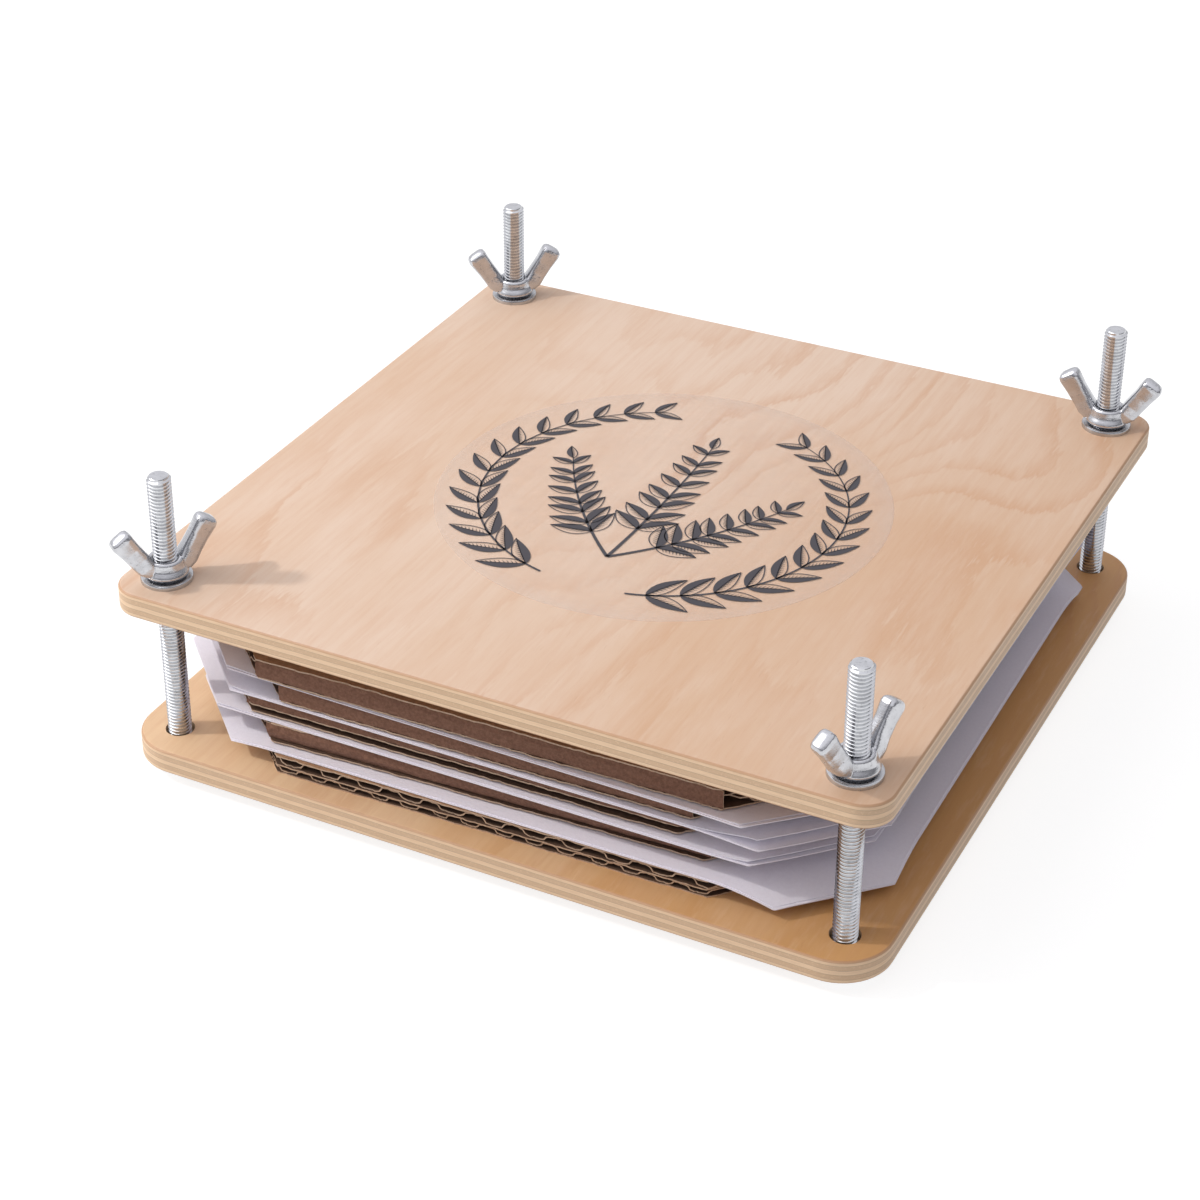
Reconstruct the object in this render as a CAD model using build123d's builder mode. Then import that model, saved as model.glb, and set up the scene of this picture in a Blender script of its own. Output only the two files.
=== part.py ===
from build123d import *
import os
from math import cos, radians, sin, sqrt

# A flower press: two plywood boards on four coach bolts, with a stack of corrugated cards and
# blotting papers between them and a washer and a wing nut on each bolt.
# All sizes are in millimetres. The origin is on the table, under the middle of the boards,
# with +Z up, +X to the right and +Y to the back.

# Boards
board_side = 168.0
board_thickness = 5.3
lower_corner_radius = 11.0
upper_corner_radius = 6.5
board_edge_ease = 0.6
largest_ease = 0.45  # of the wall that an edge is rounded on
bolt_edge_distance = 9.0
bolt_hole_clearance = 0.6

# Coach bolts: dome head, square neck, round shank
bolt_diameter = 5.0
bolt_length = 66.0
bolt_tip_chamfer = 0.5
head_overhang = 4.0
head_height = 2.9
head_rim_height = 0.6
head_crown_diameter = 4.0
neck_height = 3.6
neck_clearance = 0.1

# Washers
washer_clearance = 0.25
washer_width = 2.65
washer_thickness = 1.0

# Wing nuts
thread_clearance = 0.05
boss_base_wall = 2.05
boss_top_wall = 1.2
boss_height = 4.2
boss_chamfer = 0.6
wing_tip_reach = 9.6
wing_tip_height = 10.9
wing_root_sink = 0.7
wing_width = 4.5
wing_thickness = 3.5
wing_edge_round = 1.2
wing_tip_round = 0.5

# The heading of each nut's wings, in degrees from +X
wing_headings = {"front_left": 55.8, "front_right": 68.9, "back_left": 38.0, "back_right": 7.6}

# Double-wall corrugated cards: three liners, a short flute below and a tall flute above
card_margin = 7.0
card_bolt_clearance = 15.2
liner_thickness = 0.4
flute_wall = 0.38
flute_slope = 0.12
short_flute_pitch = 7.0
tall_flute_pitch = 9.2
tall_flute_share = 0.57

# From the bottom card up: thickness, shift in X and Y, turn in degrees, how much is cut off the right
# side, and where the flutes run
card_thicknesses = (4.3, 4.7, 4.8, 4.8, 4.7, 5.0)
card_shifts = ((-2.3, -1.5), (-2.1, 2.1), (-5.5, 1.8), (-1.3, 0.3), (-2.0, -1.6), (-2.0, 0.8))
card_turns = (1.4, 2.3, 1.0, 1.1, 0.9, -0.4)
card_right_trims = (0.0, 4.6, 0.0, 0.0, 0.0, 0.0)
card_flutes = ("to the front", "sideways", "sideways", "sideways", "sideways", "sideways")

# Blotting papers, two on each card but the upper two
paper_margin = 6.0
paper_thickness = 0.4
paper_slip = 0.4
papers_in_layer = 2

# From the bottom: how far the layer's cut corners pass the bolts, the shift in X and Y of its first paper,
# and its turn in degrees
paper_bolt_clearances = (5.6, 6.3, 6.8, 7.9)
paper_shifts = ((0.0, 0.0), (-4.2, 1.6), (-1.2, 0.8), (-1.3, -0.8))
paper_turns = (0.75, 0.0, 0.0, -0.8)

# Round clear film on the upper board
film_diameter = 98.0
film_thickness = 0.15
film_shift_x = 1.0

# What follows from these
bolt_reach = board_side / 2 - bolt_edge_distance
bolt_spacing = 2 * bolt_reach
bolt_radius = bolt_diameter / 2
bolt_hole_radius = bolt_radius + bolt_hole_clearance
neck_pocket_side = bolt_diameter + 2 * neck_clearance
bolt_end = head_height + bolt_length
head_radius = bolt_radius + head_overhang
crown_radius = head_crown_diameter / 2
washer_hole_radius = bolt_radius + washer_clearance
nut_bore_radius = bolt_radius + thread_clearance
boss_base_radius = nut_bore_radius + boss_base_wall
boss_top_radius = nut_bore_radius + boss_top_wall
board_ease = min(board_edge_ease, largest_ease * board_thickness)
wing_ease = min(wing_edge_round, largest_ease * wing_thickness)
lower_underside = head_height
lower_top = lower_underside + board_thickness
corners = {"front_left": (-1, -1), "front_right": (1, -1), "back_left": (-1, 1), "back_right": (1, 1)}

os.makedirs("parts", exist_ok=True)


def corner_clip(margin, bolt_clearance):
    """How much of a sheet's corners is cut off, so that the cut passes the bolt at the clearance."""
    past_bolt = bolt_radius + bolt_clearance
    return sqrt(2) * past_bolt + 2 * (bolt_edge_distance - margin)


def turned_plane(x, y, z, turn):
    """A level plane at a point, with its own X axis turned by some degrees."""
    heading = radians(turn)
    return Plane(origin=(x, y, z), x_dir=(cos(heading), sin(heading), 0), z_dir=(0, 0, 1))


def flute_cell(pitch, low, high, base_up):
    """The outline of one hollow of a flute: wide at its base, narrow at the other liner."""
    wide = pitch / 4 + flute_slope * pitch - flute_wall / 2
    narrow = pitch / 4 - flute_slope * pitch - flute_wall / 2
    base, crest = (high, low) if base_up else (low, high)
    return ((-wide, base), (wide, base), (narrow, crest), (-narrow, crest))


def card_outline(card_side, right_trim):
    """The corners of a square with its own corners cut off and its right side cut back."""
    half = card_side / 2
    short = half - corner_clip(card_margin, card_bolt_clearance)
    right = half - right_trim
    upper = [(right, short + right_trim), (short, half), (-short, half), (-half, short)]
    return [(x, -y) for x, y in reversed(upper)] + upper


def corrugated_card(place, thickness, right_trim, flutes_run):
    """One octagonal card with its two rows of flutes cut right through."""
    card_side = board_side - 2 * card_margin
    flute_space = thickness - 3 * liner_thickness
    middle_liner = liner_thickness + flute_space * (1 - tall_flute_share)
    rows = (
        (short_flute_pitch, liner_thickness, middle_liner),
        (tall_flute_pitch, middle_liner + liner_thickness, thickness - liner_thickness),
    )
    across = place.x_dir if flutes_run == "to the front" else place.y_dir
    flute_ends = Plane(place.origin, x_dir=across, z_dir=across.cross(place.z_dir))
    with BuildPart() as card:
        with BuildSketch(place):
            Polygon(*card_outline(card_side, right_trim), align=None)
        extrude(amount=thickness)
        with BuildSketch(flute_ends.offset(-card_side)):
            for pitch, low, high in rows:
                count = 2 * int(card_side / pitch / 2) + 1
                with GridLocations(pitch, 1, count, 1):
                    Polygon(*flute_cell(pitch, low, high, False), align=None)
                with GridLocations(pitch, 1, count + 1, 1):
                    Polygon(*flute_cell(pitch, low, high, True), align=None)
        extrude(amount=2 * card_side, mode=Mode.SUBTRACT)
    return card.part


def blotting_paper(place, bolt_clearance):
    """One octagonal paper."""
    paper_side = board_side - 2 * paper_margin
    with BuildPart() as paper:
        with BuildSketch(place):
            outline = Rectangle(paper_side, paper_side)
            chamfer(outline.vertices(), corner_clip(paper_margin, bolt_clearance))
        extrude(amount=paper_thickness)
    return paper.part


def keep(part, name):
    """Names a finished piece and writes it."""
    part.label = name
    export_step(part, f"parts/{name}.step")


# Lower board, with a square pocket under each bolt hole that keeps the bolt from turning
with BuildPart() as lower_board:
    with BuildSketch(Plane.XY.offset(lower_underside)):
        RectangleRounded(board_side, board_side, lower_corner_radius)
        with GridLocations(bolt_spacing, bolt_spacing, 2, 2):
            Circle(bolt_hole_radius, mode=Mode.SUBTRACT)
    extrude(amount=board_thickness)
    with BuildSketch(Plane.XY.offset(lower_underside)):
        with GridLocations(bolt_spacing, bolt_spacing, 2, 2):
            Rectangle(neck_pocket_side, neck_pocket_side)
    extrude(amount=neck_height, mode=Mode.SUBTRACT)
    board_faces = lower_board.faces().sort_by(Axis.Z)
    rims = board_faces[0].outer_wire().edges() + board_faces[-1].outer_wire().edges()
    fillet(rims, board_ease)
keep(lower_board.part, "lower_board")

# The stack, from the lower board up
level = lower_top
paper_number = 0
for card_index, thickness in enumerate(card_thicknesses):
    shift_x, shift_y = card_shifts[card_index]
    card_place = turned_plane(shift_x, shift_y, level, card_turns[card_index])
    card = corrugated_card(card_place, thickness, card_right_trims[card_index], card_flutes[card_index])
    keep(card, f"corrugated_card_{card_index + 1}")
    level += thickness
    if card_index < len(paper_shifts):
        paper_x, paper_y = paper_shifts[card_index]
        for sheet in range(papers_in_layer):
            slip = sheet * paper_slip
            paper_number += 1
            paper_place = turned_plane(paper_x - slip, paper_y + slip, level, paper_turns[card_index])
            paper = blotting_paper(paper_place, paper_bolt_clearances[card_index])
            keep(paper, f"blotting_paper_{paper_number}")
            level += paper_thickness

# Upper board, on the stack
upper_underside = level
upper_top = upper_underside + board_thickness
with BuildPart() as upper_board:
    with BuildSketch(Plane.XY.offset(upper_underside)):
        RectangleRounded(board_side, board_side, upper_corner_radius)
        with GridLocations(bolt_spacing, bolt_spacing, 2, 2):
            Circle(bolt_hole_radius, mode=Mode.SUBTRACT)
    extrude(amount=board_thickness)
    board_faces = upper_board.faces().sort_by(Axis.Z)
    rims = board_faces[0].outer_wire().edges() + board_faces[-1].outer_wire().edges()
    fillet(rims, board_ease)
keep(upper_board.part, "upper_board")

# Clear film on the upper board
with BuildPart() as label_film:
    with BuildSketch(Plane.XY.offset(upper_top)):
        with Locations((film_shift_x, 0)):
            Circle(film_diameter / 2)
    extrude(amount=film_thickness)
keep(label_film.part, "label_film")

# A bolt, a washer and a wing nut at each corner
for corner, (side_x, side_y) in corners.items():
    bolt_x = side_x * bolt_reach
    bolt_y = side_y * bolt_reach
    bolt_axis = Axis((bolt_x, bolt_y, 0), (0, 0, 1))

    with BuildPart() as bolt:
        with BuildSketch(Plane(origin=(bolt_x, bolt_y, 0), x_dir=(1, 0, 0), z_dir=(0, -1, 0))):
            with BuildLine():
                Line((0, 0), (crown_radius, 0))
                TangentArc((crown_radius, 0), (head_radius, head_height - head_rim_height), tangent=(1, 0))
                Polyline(
                    (head_radius, head_height - head_rim_height),
                    (head_radius, head_height),
                    (bolt_radius, head_height),
                    (bolt_radius, bolt_end - bolt_tip_chamfer),
                    (bolt_radius - bolt_tip_chamfer, bolt_end),
                    (0, bolt_end),
                    (0, 0),
                )
            make_face()
        revolve(axis=bolt_axis)
        with BuildSketch(Plane(origin=(bolt_x, bolt_y, head_height))):
            Rectangle(bolt_diameter, bolt_diameter)
        extrude(amount=neck_height)
    keep(bolt.part, f"bolt_{corner}")

    with BuildPart() as washer:
        with BuildSketch(Plane(origin=(bolt_x, bolt_y, upper_top))):
            Circle(washer_hole_radius + washer_width)
            Circle(washer_hole_radius, mode=Mode.SUBTRACT)
        extrude(amount=washer_thickness)
    keep(washer.part, f"washer_{corner}")

    nut_seat = upper_top + washer_thickness
    nut_place = turned_plane(bolt_x, bolt_y, nut_seat, wing_headings[corner])
    with BuildPart() as wing_nut:
        with BuildSketch(Plane(nut_place.origin, x_dir=nut_place.x_dir, z_dir=-nut_place.y_dir)):
            with BuildLine():
                Polyline(
                    (0, 0),
                    (boss_base_radius - boss_chamfer, 0),
                    (boss_base_radius, boss_chamfer),
                    (boss_top_radius, boss_height),
                    (0, boss_height),
                    close=True,
                )
            make_face()
        revolve(axis=bolt_axis)
        for side in (1, -1):
            outward = nut_place.x_dir * side
            wing_root_reach = boss_base_radius - wing_root_sink
            wing_root = nut_place.origin + outward * wing_root_reach + nut_place.z_dir * boss_height / 2
            wing_tip = nut_place.origin + outward * wing_tip_reach + nut_place.z_dir * wing_tip_height
            wing_line = wing_tip - wing_root
            with BuildSketch(Plane(wing_tip, x_dir=nut_place.y_dir, z_dir=wing_line)):
                RectangleRounded(wing_thickness, wing_width, wing_ease)
            extrude(amount=-wing_line.length)
            tip_edges = wing_nut.faces().sort_by_distance(wing_tip)[0].edges()
            fillet(tip_edges, wing_tip_round)
        with BuildSketch(nut_place):
            Circle(nut_bore_radius)
        extrude(amount=wing_tip_height, mode=Mode.SUBTRACT)
    keep(wing_nut.part, f"wing_nut_{corner}")
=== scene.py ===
import math

import bmesh
import bpy
from mathutils import Matrix, Vector, noise


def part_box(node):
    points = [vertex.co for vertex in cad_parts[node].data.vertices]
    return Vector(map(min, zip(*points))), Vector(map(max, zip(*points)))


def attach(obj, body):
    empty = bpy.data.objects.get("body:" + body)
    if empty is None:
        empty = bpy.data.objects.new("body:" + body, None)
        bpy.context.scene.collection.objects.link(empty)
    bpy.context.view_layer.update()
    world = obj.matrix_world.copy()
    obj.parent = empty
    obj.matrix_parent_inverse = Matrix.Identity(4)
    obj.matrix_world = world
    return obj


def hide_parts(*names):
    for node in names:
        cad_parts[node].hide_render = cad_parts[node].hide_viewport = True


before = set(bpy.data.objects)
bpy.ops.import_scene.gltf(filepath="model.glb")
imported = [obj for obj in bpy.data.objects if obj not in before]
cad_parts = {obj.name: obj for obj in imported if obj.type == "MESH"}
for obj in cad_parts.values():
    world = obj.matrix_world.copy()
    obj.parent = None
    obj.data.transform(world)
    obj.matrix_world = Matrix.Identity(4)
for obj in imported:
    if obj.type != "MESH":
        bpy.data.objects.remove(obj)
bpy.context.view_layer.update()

# A flower press on a white floor: two plywood boards on threaded bolts with washers and wing nuts,
# and between them corrugated cards and blotting papers. Lengths are in millimetres in the values
# below and in metres in Blender.
MM = 0.001

# The camera, solved from the boards' edges and the bolts
CAMERA_PLACE = Vector((210.94, -453.85, 329.17)) * MM
CAMERA_AZIMUTH = math.radians(-27.758)
CAMERA_ELEVATION = math.radians(29.859)
CAMERA_ROLL = math.radians(-0.387)
CAMERA_LENS = 80.76
CAMERA_SHIFT = (0.0473, -0.0747)
CAMERA_SENSOR = 36.0
CAMERA_NEAR = 0.01

# The key lamp stands at the left front, and the softbox at the left
KEY_AZIMUTH = math.radians(-150)
KEY_ELEVATION = math.radians(41)
KEY_DISTANCE = 0.9
KEY_WIDTH = 0.05
KEY_POWER = 2.4
KEY_COLOUR = (1.0, 0.965, 0.92)
SOFTBOX_PLACE = Vector((-0.55, -0.2, 0.7))
SOFTBOX_WIDTH = 0.95
SOFTBOX_POWER = 2.6
SOFTBOX_COLOUR = (1.0, 0.99, 0.98)

# The studio's bright wall stands at the back and left, and all of it is brighter at the camera's left
BACK = (-0.75, 0.66, 0.0)
LEFT = (-0.885, -0.466, 0.0)
BRIGHTER_LEFT = 0.3
FRONT_WALL = (0.11, 0.11, 0.125, 1.0)
BACK_WALL = (0.6, 0.6, 0.62, 1.0)
CEILING = (0.93, 0.925, 0.97, 1.0)
# The studio's strength as it lights the press, and what is added where it is seen
STUDIO_LIGHT = 0.72
SEEN_LIGHT = 0.38

# Places that repeat the model's
CORNERS = ("front_left", "front_right", "back_left", "back_right")
WING_HEADINGS = {"front_left": 55.8, "front_right": 68.9, "back_left": 38.0, "back_right": 7.6}
CARD_SHIFTS = ((-2.3, -1.5), (-2.1, 2.1), (-5.5, 1.8), (-1.3, 0.3), (-2.0, -1.6), (-2.0, 0.8))
CARD_TURNS = (1.4, 2.3, 1.0, 1.1, 0.9, -0.4)
CARD_RIGHT_TRIMS = (0.0, 4.6, 0.0, 0.0, 0.0, 0.0)
CARD_HALF = 77.0
CARD_CLIP = 29.0
PAPER_SHIFTS = ((0.0, 0.0), (-4.2, 1.6), (-1.2, 0.8), (-1.3, -0.8))
PAPER_TURNS = (0.75, 0.0, 0.0, -0.8)
PAPER_SLIP = 0.4
PAPER_HALF = 78.0
PAPER_CLIPS = (17.5, 18.4, 19.2, 20.7)
FILM_CENTRE = Vector((1.0, 0.0))

BASE = "base"
PRESSING_BOARD = "pressing_board"


# Shared mesh helpers

def flat_mesh(name, points, faces):
    """A mesh of flat faces from points in millimetres, with its faces turned outwards."""
    mesh = bpy.data.meshes.new(name)
    mesh.from_pydata([Vector(p) * MM for p in points], [], faces)
    mesh.validate()
    bm = bmesh.new()
    bm.from_mesh(mesh)
    bmesh.ops.recalc_face_normals(bm, faces=bm.faces)
    bm.to_mesh(mesh)
    bm.free()
    return mesh


def add_piece(name, mesh, material, body, node=None):
    """Puts a mesh into the scene as a piece that rides on a body and may stand for a CAD node."""
    piece = bpy.data.objects.new(name, mesh)
    bpy.context.scene.collection.objects.link(piece)
    mesh.materials.clear()
    mesh.materials.append(material)
    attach(piece, body)
    if node:
        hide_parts(node)
    return piece


def lathe(bm, profile, segments):
    """Turns a line of (radius, height) points round the Z axis. Ends on the axis are closed."""
    rings = []
    for radius, height in profile:
        if radius == 0:
            rings.append([bm.verts.new((0, 0, height))])
            continue
        ring = []
        for i in range(segments):
            turn = 2 * math.pi * i / segments
            ring.append(bm.verts.new((radius * math.cos(turn), radius * math.sin(turn), height)))
        rings.append(ring)
    for low, high in zip(rings, rings[1:]):
        join_rings(bm, low, high)
    return rings


def join_rings(bm, low, high):
    """Faces between two rings of points, where one of them may be a single point."""
    count = max(len(low), len(high))
    for i in range(count):
        j = (i + 1) % count
        if len(low) == 1:
            bm.faces.new((low[0], high[j], high[i]))
        elif len(high) == 1:
            bm.faces.new((low[i], low[j], high[0]))
        else:
            bm.faces.new((low[i], low[j], high[j], high[i]))


def finished(bm, name, angle=40):
    """Turns a bmesh in millimetres into a mesh in metres with sharp edges kept sharp."""
    bmesh.ops.recalc_face_normals(bm, faces=bm.faces)
    bmesh.ops.transform(bm, matrix=Matrix.Scale(MM, 4), verts=bm.verts)
    mesh = bpy.data.meshes.new(name)
    bm.to_mesh(mesh)
    bm.free()
    mesh.polygons.foreach_set("use_smooth", [True] * len(mesh.polygons))
    mesh.set_sharp_from_angle(angle=math.radians(angle))
    return mesh


def smooth_step(value, low, high):
    """0 below low, 1 above high and a soft step between them."""
    share = min(max((value - low) / (high - low), 0.0), 1.0)
    return share * share * (3 - 2 * share)


# Shader helpers

class Shading:
    """Adds nodes to one node tree. An input that is a socket is linked, and any other is a value."""

    def __init__(self, tree):
        self.tree = tree

    def add(self, kind, inputs=(), **settings):
        node = self.tree.nodes.new(kind)
        for key, value in settings.items():
            setattr(node, key, value)
        for key, value in dict(inputs).items():
            self.put(node.inputs[key], value)
        return node

    def put(self, socket, value):
        if isinstance(value, bpy.types.NodeSocket):
            self.tree.links.new(value, socket)
        else:
            socket.default_value = value

    def math(self, operation, first, second=0.0):
        return self.add("ShaderNodeMath", {0: first, 1: second}, operation=operation).outputs[0]

    def mix(self, share, first, second, blend="MIX"):
        node = self.add("ShaderNodeMix", {0: share, 6: first, 7: second}, data_type="RGBA", blend_type=blend)
        return node.outputs[2]

    def blend(self, share, first, second):
        return self.add("ShaderNodeMix", {0: share, 2: first, 3: second}).outputs[0]

    def dot(self, first, second):
        node = self.add("ShaderNodeVectorMath", {0: first, 1: second}, operation="DOT_PRODUCT")
        return node.outputs["Value"]

    def span(self, value, low, high, new_low=0.0, new_high=1.0):
        inputs = {0: value, 1: low, 2: high, 3: new_low, 4: new_high}
        return self.add("ShaderNodeMapRange", inputs).outputs[0]

    def noise(self, vector, scale, detail=3.0, roughness=0.5, distortion=0.0):
        inputs = {
            "Vector": vector,
            "Scale": scale,
            "Detail": detail,
            "Roughness": roughness,
            "Distortion": distortion,
        }
        return self.add("ShaderNodeTexNoise", inputs).outputs[0]

    def stretched(self, vector, scale, place=(0.0, 0.0, 0.0)):
        return self.add("ShaderNodeMapping", {"Vector": vector, "Location": place, "Scale": scale}).outputs[0]

    def bump(self, height, strength, distance):
        inputs = {"Height": height, "Strength": strength, "Distance": distance}
        return self.add("ShaderNodeBump", inputs).outputs[0]

    def place(self):
        return self.add("ShaderNodeTexCoord").outputs["Object"]


def new_group(name, inputs, outputs):
    """An empty shader node group with named sockets, and the helper that fills it."""
    group = bpy.data.node_groups.new(name, "ShaderNodeTree")
    for socket, kind in inputs:
        group.interface.new_socket(socket, in_out="INPUT", socket_type=kind)
    for socket, kind in outputs:
        group.interface.new_socket(socket, in_out="OUTPUT", socket_type=kind)
    shading = Shading(group)
    ins = group.nodes.new("NodeGroupInput").outputs
    outs = group.nodes.new("NodeGroupOutput").inputs
    return group, shading, ins, outs


def new_material(name):
    """A material with an empty Principled shader, and the helper that fills it."""
    material = bpy.data.materials.new(name)
    material.use_nodes = True
    shader = material.node_tree.nodes["Principled BSDF"]
    return material, Shading(material.node_tree), shader.inputs


VECTOR = "NodeSocketVector"
COLOUR = "NodeSocketColor"
FLOAT = "NodeSocketFloat"


# Finishes

VENEER_LINE = (0.60, 0.29, 0.13, 1.0)
ARRIS = (0.52, 0.28, 0.15, 1.0)
LIGHT_PLY = (0.93, 0.68, 0.45, 1.0)
BROWN_PLY = (0.65, 0.435, 0.265, 1.0)
GLUE = (0.27, 0.16, 0.10, 1.0)


def birch_face_group():
    """Rotary-cut birch veneer: soft figure and thin growth lines that run along Y."""
    group, s, ins, outs = new_group(
        "Birch veneer",
        [("Vector", VECTOR), ("Pale", COLOUR), ("Warm", COLOUR), ("Line", COLOUR), ("Painted shade drift", FLOAT)],
        [("Colour", COLOUR), ("Height", FLOAT)],
    )
    slow = s.stretched(ins["Vector"], (1.0, 0.36, 1.0))
    figure = s.noise(slow, 14.0, detail=2.0, distortion=0.3)
    clouds = s.noise(slow, 48.0, detail=4.0, roughness=0.6)
    across = s.add("ShaderNodeSeparateXYZ", {0: ins["Vector"]}).outputs[0]
    tone = s.math("ADD", s.math("MULTIPLY", figure, 0.6), s.math("MULTIPLY", clouds, 0.4))
    # The drift input is painted shade: it pushes the tone towards the darker warm colour where the board lies
    # further from the lamps
    base = s.mix(s.span(s.math("ADD", tone, ins["Painted shade drift"]), 0.38, 0.62), ins["Pale"], ins["Warm"])

    flecks = s.noise(s.stretched(ins["Vector"], (520.0, 70.0, 520.0)), 1.0, detail=3.0, roughness=0.7)
    waver = s.math("MULTIPLY", s.math("SUBTRACT", flecks, 0.5), 0.7)
    growth = s.math("ADD", s.math("MULTIPLY", across, 80.0), s.math("MULTIPLY", figure, 16.0))
    rings = s.math("FRACT", s.math("ADD", growth, waver))
    late_wood = s.math("MULTIPLY", s.span(rings, 0.5, 0.92), s.span(rings, 0.92, 1.0, 1.0, 0.0))
    patches = s.span(s.noise(slow, 20.0, detail=3.0), 0.42, 0.62, 0.2, 1.0)
    broken = s.span(flecks, 0.3, 0.62, 0.45, 1.0)
    lines = s.math("MULTIPLY", s.math("MULTIPLY", late_wood, patches), s.math("MULTIPLY", broken, 0.5))
    ringed = s.mix(lines, base, ins["Line"])
    lined = s.mix(s.span(flecks, 0.52, 0.72, 0.0, 0.3), ringed, ins["Pale"])

    streaks = s.noise(s.stretched(ins["Vector"], (900.0, 45.0, 900.0)), 1.0, detail=3.0, roughness=0.6)
    pores = s.noise(s.stretched(ins["Vector"], (2600.0, 260.0, 2600.0)), 1.0, detail=1.0)
    pore_mask = s.span(pores, 0.66, 0.74)
    grained = s.mix(s.span(streaks, 0.42, 0.68, 0.0, 0.15), lined, ins["Line"])
    s.put(outs["Colour"], s.mix(s.math("MULTIPLY", pore_mask, 0.12), grained, ins["Line"]))
    s.put(outs["Height"], s.math("SUBTRACT", streaks, s.math("MULTIPLY", pore_mask, 0.8)))
    return group


def ply_edge_group():
    """The cut edge of five plies: light and brown plies in turn, with a thin glue line between them."""
    group, s, ins, outs = new_group(
        "Ply edge",
        [
            ("Vector", VECTOR),
            ("Underside", FLOAT),
            ("Thickness", FLOAT),
            ("Light", COLOUR),
            ("Brown", COLOUR),
        ],
        [("Colour", COLOUR), ("Height", FLOAT)],
    )
    height = s.add("ShaderNodeSeparateXYZ", {0: ins["Vector"]}).outputs[2]
    wander = s.noise(ins["Vector"], 60.0, detail=2.0)
    share = s.math("DIVIDE", s.math("SUBTRACT", height, ins["Underside"]), ins["Thickness"])
    waver = s.math("MULTIPLY", s.math("SUBTRACT", wander, 0.5), 0.3)
    plies = s.math("ADD", s.math("MULTIPLY", share, 5.0), waver)
    even = s.math("MODULO", s.math("FLOOR", plies), 2.0)
    to_glue = s.math("ABSOLUTE", s.math("SUBTRACT", s.math("FRACT", s.math("ADD", plies, 0.5)), 0.5))
    glue = s.span(to_glue, 0.02, 0.09, 0.38, 0.0)
    streaks = s.noise(s.stretched(ins["Vector"], (260.0, 260.0, 5200.0)), 1.0, detail=4.0, roughness=0.65)
    specks = s.noise(s.stretched(ins["Vector"], (2400.0, 2400.0, 3800.0)), 1.0, detail=2.0)
    plain = s.mix(s.math("MULTIPLY", even, 0.7), ins["Light"], ins["Brown"])
    streaked = s.mix(s.span(streaks, 0.42, 0.7, 0.0, 0.45), plain, ins["Brown"])
    specked = s.mix(s.span(specks, 0.55, 0.72, 0.0, 0.45), streaked, ins["Light"])
    s.put(outs["Colour"], s.mix(glue, specked, GLUE))
    s.put(outs["Height"], s.math("SUBTRACT", streaks, glue))
    return group


def fibre_group():
    """Paper fibres: a fine felted mottle and single darker or lighter hairs."""
    group, s, ins, outs = new_group(
        "Paper fibres",
        [("Vector", VECTOR), ("Scale", FLOAT)],
        [("Mottle", FLOAT), ("Hairs", FLOAT), ("Height", FLOAT)],
    )
    mottle = s.noise(ins["Vector"], ins["Scale"], detail=5.0, roughness=0.65)
    warp = s.noise(ins["Vector"], s.math("MULTIPLY", ins["Scale"], 0.6), detail=2.0, distortion=2.5)
    hair_line = s.math("ABSOLUTE", s.math("SUBTRACT", warp, 0.5))
    hairs = s.span(hair_line, 0.0, 0.02, 1.0, 0.0)
    s.put(outs["Mottle"], mottle)
    s.put(outs["Hairs"], hairs)
    s.put(outs["Height"], s.math("ADD", mottle, s.math("MULTIPLY", hairs, 0.4)))
    return group


def plating_group():
    """Zinc plating: cloudy brightness, fine drawn marks and a few rubbed spots."""
    group, s, ins, outs = new_group(
        "Zinc plating",
        [("Vector", VECTOR), ("Bright", COLOUR), ("Dull", COLOUR), ("Smooth", FLOAT), ("Rough", FLOAT)],
        [("Colour", COLOUR), ("Roughness", FLOAT), ("Height", FLOAT)],
    )
    clouds = s.noise(ins["Vector"], 420.0, detail=3.0, roughness=0.6)
    marks = s.noise(s.stretched(ins["Vector"], (700.0, 700.0, 4200.0)), 1.0, detail=3.0)
    spots = s.span(s.noise(ins["Vector"], 1500.0, detail=2.0), 0.62, 0.74)
    tone = s.span(s.math("ADD", clouds, s.math("MULTIPLY", spots, 0.5)), 0.35, 0.95)
    s.put(outs["Colour"], s.mix(tone, ins["Bright"], ins["Dull"]))
    s.put(outs["Roughness"], s.blend(tone, ins["Smooth"], ins["Rough"]))
    s.put(outs["Height"], s.math("ADD", s.math("MULTIPLY", marks, 0.5), s.math("MULTIPLY", clouds, 0.5)))
    return group


BIRCH_FACE = birch_face_group()
PLY_EDGE = ply_edge_group()
FIBRES = fibre_group()
PLATING = plating_group()


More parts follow.
